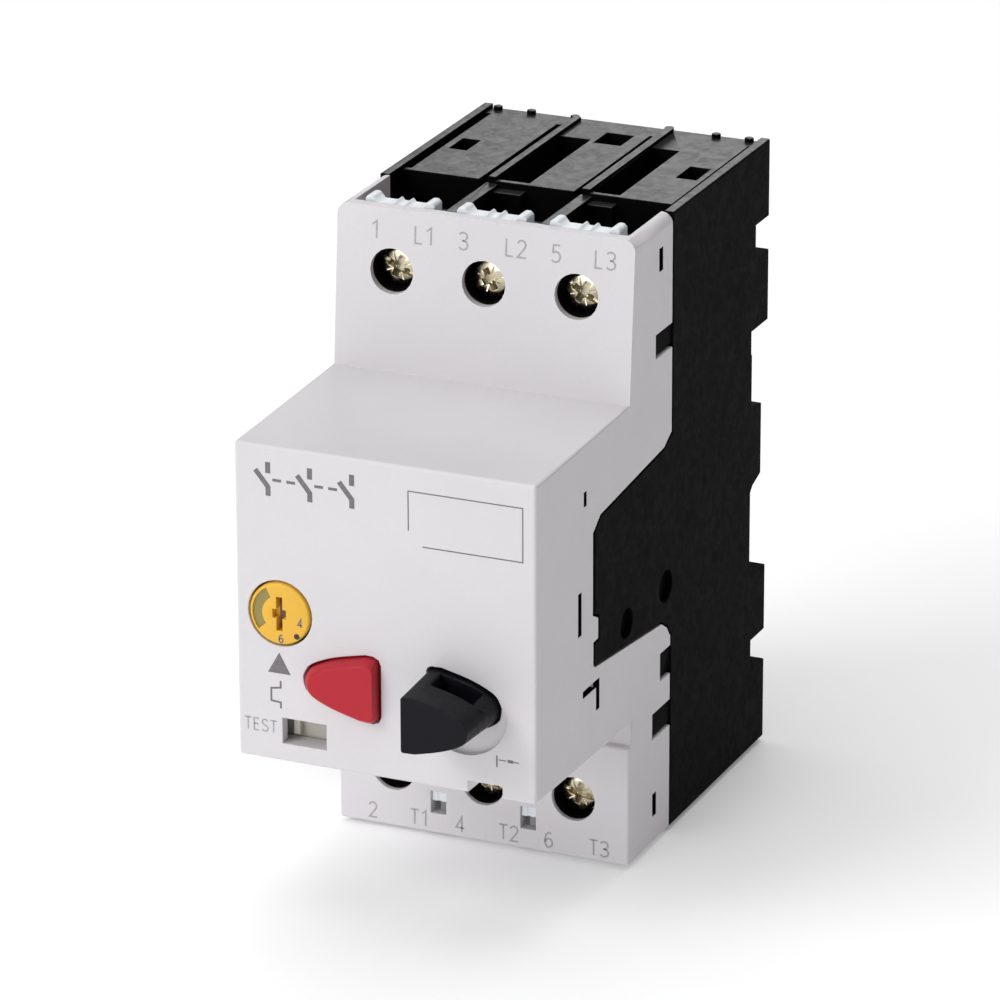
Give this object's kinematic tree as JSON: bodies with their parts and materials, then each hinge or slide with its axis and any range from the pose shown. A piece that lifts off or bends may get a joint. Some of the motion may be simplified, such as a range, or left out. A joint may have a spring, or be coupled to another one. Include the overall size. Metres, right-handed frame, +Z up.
{
  "type": "motor protection breaker",
  "caption": "Rail-mounted push-button motor protection breaker with a setting dial, test slide, screw terminals above and below, and a working contact mechanism.",
  "frame": {"origin": "on the floor plane, under the middle of the bounding box", "axes": "+X to the right as seen from the front, -Y out of the front face, +Z up"},
  "size_m": [0.045, 0.0944, 0.0944],
  "materials": {
    "cover": "fine satin moulded, pale grey",
    "housing": "fine matte moulded, black",
    "guide": "satin moulded, white",
    "start_button": "satin moulded, black",
    "stop_button": "semi-gloss moulded, red",
    "dial": "semi-gloss moulded, yellow",
    "slide": "satin moulded, cream",
    "mechanism": "matte moulded, dark grey",
    "carrier": "matte moulded, brown",
    "latch": "satin moulded, black",
    "screw": "yellow passivated, lightly worn",
    "steel": "zinc plated",
    "spring": "bright spring wire",
    "copper": "bare copper alloy",
    "contact": "silvered copper",
    "bimetal": "rolled strip"
  },
  "bodies": {
    "housing": {"front_cover": "cover", "base_housing": "housing", "mechanism_frame": "mechanism", "upper_wire_guide_1": "guide", "lower_wire_guide_1": "guide", "line_conductor_1": "copper", "load_conductor_1": "copper", "arc_chute_1": "steel", "trip_coil_1": "copper", "bimetal_strip_1": "bimetal", "upper_wire_guide_2": "guide", "lower_wire_guide_2": "guide", "line_conductor_2": "copper", "load_conductor_2": "copper", "arc_chute_2": "steel", "trip_coil_2": "copper", "bimetal_strip_2": "bimetal", "upper_wire_guide_3": "guide", "lower_wire_guide_3": "guide", "line_conductor_3": "copper", "load_conductor_3": "copper", "arc_chute_3": "steel", "trip_coil_3": "copper", "bimetal_strip_3": "bimetal", "lever_pin": "steel", "start_spring": "spring", "stop_spring": "spring", "latch_spring": "spring"},
    "start_button": {"start_button": "start_button"},
    "stop_button": {"stop_button": "stop_button"},
    "current_dial": {"current_dial": "dial"},
    "test_slide": {"test_slide": "slide"},
    "toggle_lever": {"toggle_lever": "steel"},
    "contact_carrier": {"contact_carrier": "carrier", "contact_bridge_1": "contact", "contact_bridge_2": "contact", "contact_bridge_3": "contact"},
    "trip_bar": {"trip_bar": "mechanism"},
    "rail_latch": {"rail_latch": "latch"},
    "trip_plunger_1": {"trip_plunger_1": "steel"},
    "trip_plunger_2": {"trip_plunger_2": "steel"},
    "trip_plunger_3": {"trip_plunger_3": "steel"},
    "upper_screw_1": {"upper_terminal_screw_1": "screw"},
    "upper_clamp_1": {"upper_terminal_clamp_1": "steel"},
    "lower_screw_1": {"lower_terminal_screw_1": "screw"},
    "lower_clamp_1": {"lower_terminal_clamp_1": "steel"},
    "upper_screw_2": {"upper_terminal_screw_2": "screw"},
    "upper_clamp_2": {"upper_terminal_clamp_2": "steel"},
    "lower_screw_2": {"lower_terminal_screw_2": "screw"},
    "lower_clamp_2": {"lower_terminal_clamp_2": "steel"},
    "upper_screw_3": {"upper_terminal_screw_3": "screw"},
    "upper_clamp_3": {"upper_terminal_clamp_3": "steel"},
    "lower_screw_3": {"lower_terminal_screw_3": "screw"},
    "lower_clamp_3": {"lower_terminal_clamp_3": "steel"}
  },
  "joints": [
    {"name": "start_press", "type": "slide", "parent": "housing", "child": "start_button", "axis": [0, 1, 0], "range_m": [0, 0.006], "deforming": ["start_spring"]},
    {"name": "lever_turn", "type": "hinge", "parent": "housing", "child": "toggle_lever", "pos_m": [0.012, -0.00375, 0.0637], "axis": [1, 0, 0], "range_deg": [0, 12.8]},
    {"name": "carrier_slide", "type": "slide", "parent": "housing", "child": "contact_carrier", "axis": [0, 1, 0], "range_m": [0, 0.0031]},
    {"name": "stop_press", "type": "slide", "parent": "housing", "child": "stop_button", "axis": [0, 1, 0], "range_m": [0, 0.0015], "stiffness_N_per_m": 400, "springref_m": -0.003, "deforming": ["stop_spring"]},
    {"name": "dial_turn", "type": "hinge", "parent": "housing", "child": "current_dial", "pos_m": [-0.0159, -0.03575, 0.0453], "axis": [0, 1, 0], "range_deg": [-135, 135]},
    {"name": "test_push", "type": "slide", "parent": "housing", "child": "test_slide", "axis": [-1, 0, 0], "range_m": [0, 0.002], "stiffness_N_per_m": 150, "springref_m": -0.002},
    {"name": "trip_slide", "type": "slide", "parent": "housing", "child": "trip_bar", "axis": [1, 0, 0], "range_m": [0, 0.0015], "stiffness_N_per_m": 150, "springref_m": -0.002},
    {"name": "latch_pull", "type": "slide", "parent": "housing", "child": "rail_latch", "axis": [0, 0, -1], "range_m": [0, 0.003], "stiffness_N_per_m": 800, "springref_m": -0.003, "deforming": ["latch_spring"]},
    {"name": "plunger_1_lift", "type": "slide", "parent": "housing", "child": "trip_plunger_1", "axis": [0, 0, 1], "range_m": [0, 0.002], "stiffness_N_per_m": 100, "springref_m": -0.002},
    {"name": "plunger_2_lift", "type": "slide", "parent": "housing", "child": "trip_plunger_2", "axis": [0, 0, 1], "range_m": [0, 0.002], "stiffness_N_per_m": 100, "springref_m": -0.002},
    {"name": "plunger_3_lift", "type": "slide", "parent": "housing", "child": "trip_plunger_3", "axis": [0, 0, 1], "range_m": [0, 0.002], "stiffness_N_per_m": 100, "springref_m": -0.002},
    {"name": "upper_clamp_1_draw", "type": "slide", "parent": "housing", "child": "upper_clamp_1", "axis": [0, -1, 0], "range_m": [0, 0.0032]},
    {"name": "upper_screw_1_turn", "type": "hinge", "parent": "housing", "child": "upper_screw_1", "pos_m": [-0.014, 0.00065, 0.0847], "axis": [0, 1, 0], "range_deg": [0, 1920]},
    {"name": "lower_clamp_1_draw", "type": "slide", "parent": "housing", "child": "lower_clamp_1", "axis": [0, -1, 0], "range_m": [0, 0.0032]},
    {"name": "lower_screw_1_turn", "type": "hinge", "parent": "housing", "child": "lower_screw_1", "pos_m": [-0.014, -0.00025, 0.0097], "axis": [0, 1, 0], "range_deg": [0, 1920]},
    {"name": "upper_clamp_2_draw", "type": "slide", "parent": "housing", "child": "upper_clamp_2", "axis": [0, -1, 0], "range_m": [0, 0.0032]},
    {"name": "upper_screw_2_turn", "type": "hinge", "parent": "housing", "child": "upper_screw_2", "pos_m": [0, 0.00065, 0.0847], "axis": [0, 1, 0], "range_deg": [0, 1920]},
    {"name": "lower_clamp_2_draw", "type": "slide", "parent": "housing", "child": "lower_clamp_2", "axis": [0, -1, 0], "range_m": [0, 0.0032]},
    {"name": "lower_screw_2_turn", "type": "hinge", "parent": "housing", "child": "lower_screw_2", "pos_m": [0, -0.00025, 0.0097], "axis": [0, 1, 0], "range_deg": [0, 1920]},
    {"name": "upper_clamp_3_draw", "type": "slide", "parent": "housing", "child": "upper_clamp_3", "axis": [0, -1, 0], "range_m": [0, 0.0032]},
    {"name": "upper_screw_3_turn", "type": "hinge", "parent": "housing", "child": "upper_screw_3", "pos_m": [0.014, 0.00065, 0.0847], "axis": [0, 1, 0], "range_deg": [0, 1920]},
    {"name": "lower_clamp_3_draw", "type": "slide", "parent": "housing", "child": "lower_clamp_3", "axis": [0, -1, 0], "range_m": [0, 0.0032]},
    {"name": "lower_screw_3_turn", "type": "hinge", "parent": "housing", "child": "lower_screw_3", "pos_m": [0.014, -0.00025, 0.0097], "axis": [0, 1, 0], "range_deg": [0, 1920]}
  ],
  "couplings": [
    {"joint": "lever_turn", "follows": "start_press", "rad_per_m": 37.04},
    {"joint": "carrier_slide", "follows": "start_press", "ratio": 0.5166},
    {"joint": "upper_screw_1_turn", "follows": "upper_clamp_1_draw", "rad_per_m": 10471},
    {"joint": "lower_screw_1_turn", "follows": "lower_clamp_1_draw", "rad_per_m": 10471},
    {"joint": "upper_screw_2_turn", "follows": "upper_clamp_2_draw", "rad_per_m": 10471},
    {"joint": "lower_screw_2_turn", "follows": "lower_clamp_2_draw", "rad_per_m": 10471},
    {"joint": "upper_screw_3_turn", "follows": "upper_clamp_3_draw", "rad_per_m": 10471},
    {"joint": "lower_screw_3_turn", "follows": "lower_clamp_3_draw", "rad_per_m": 10471}
  ]
}
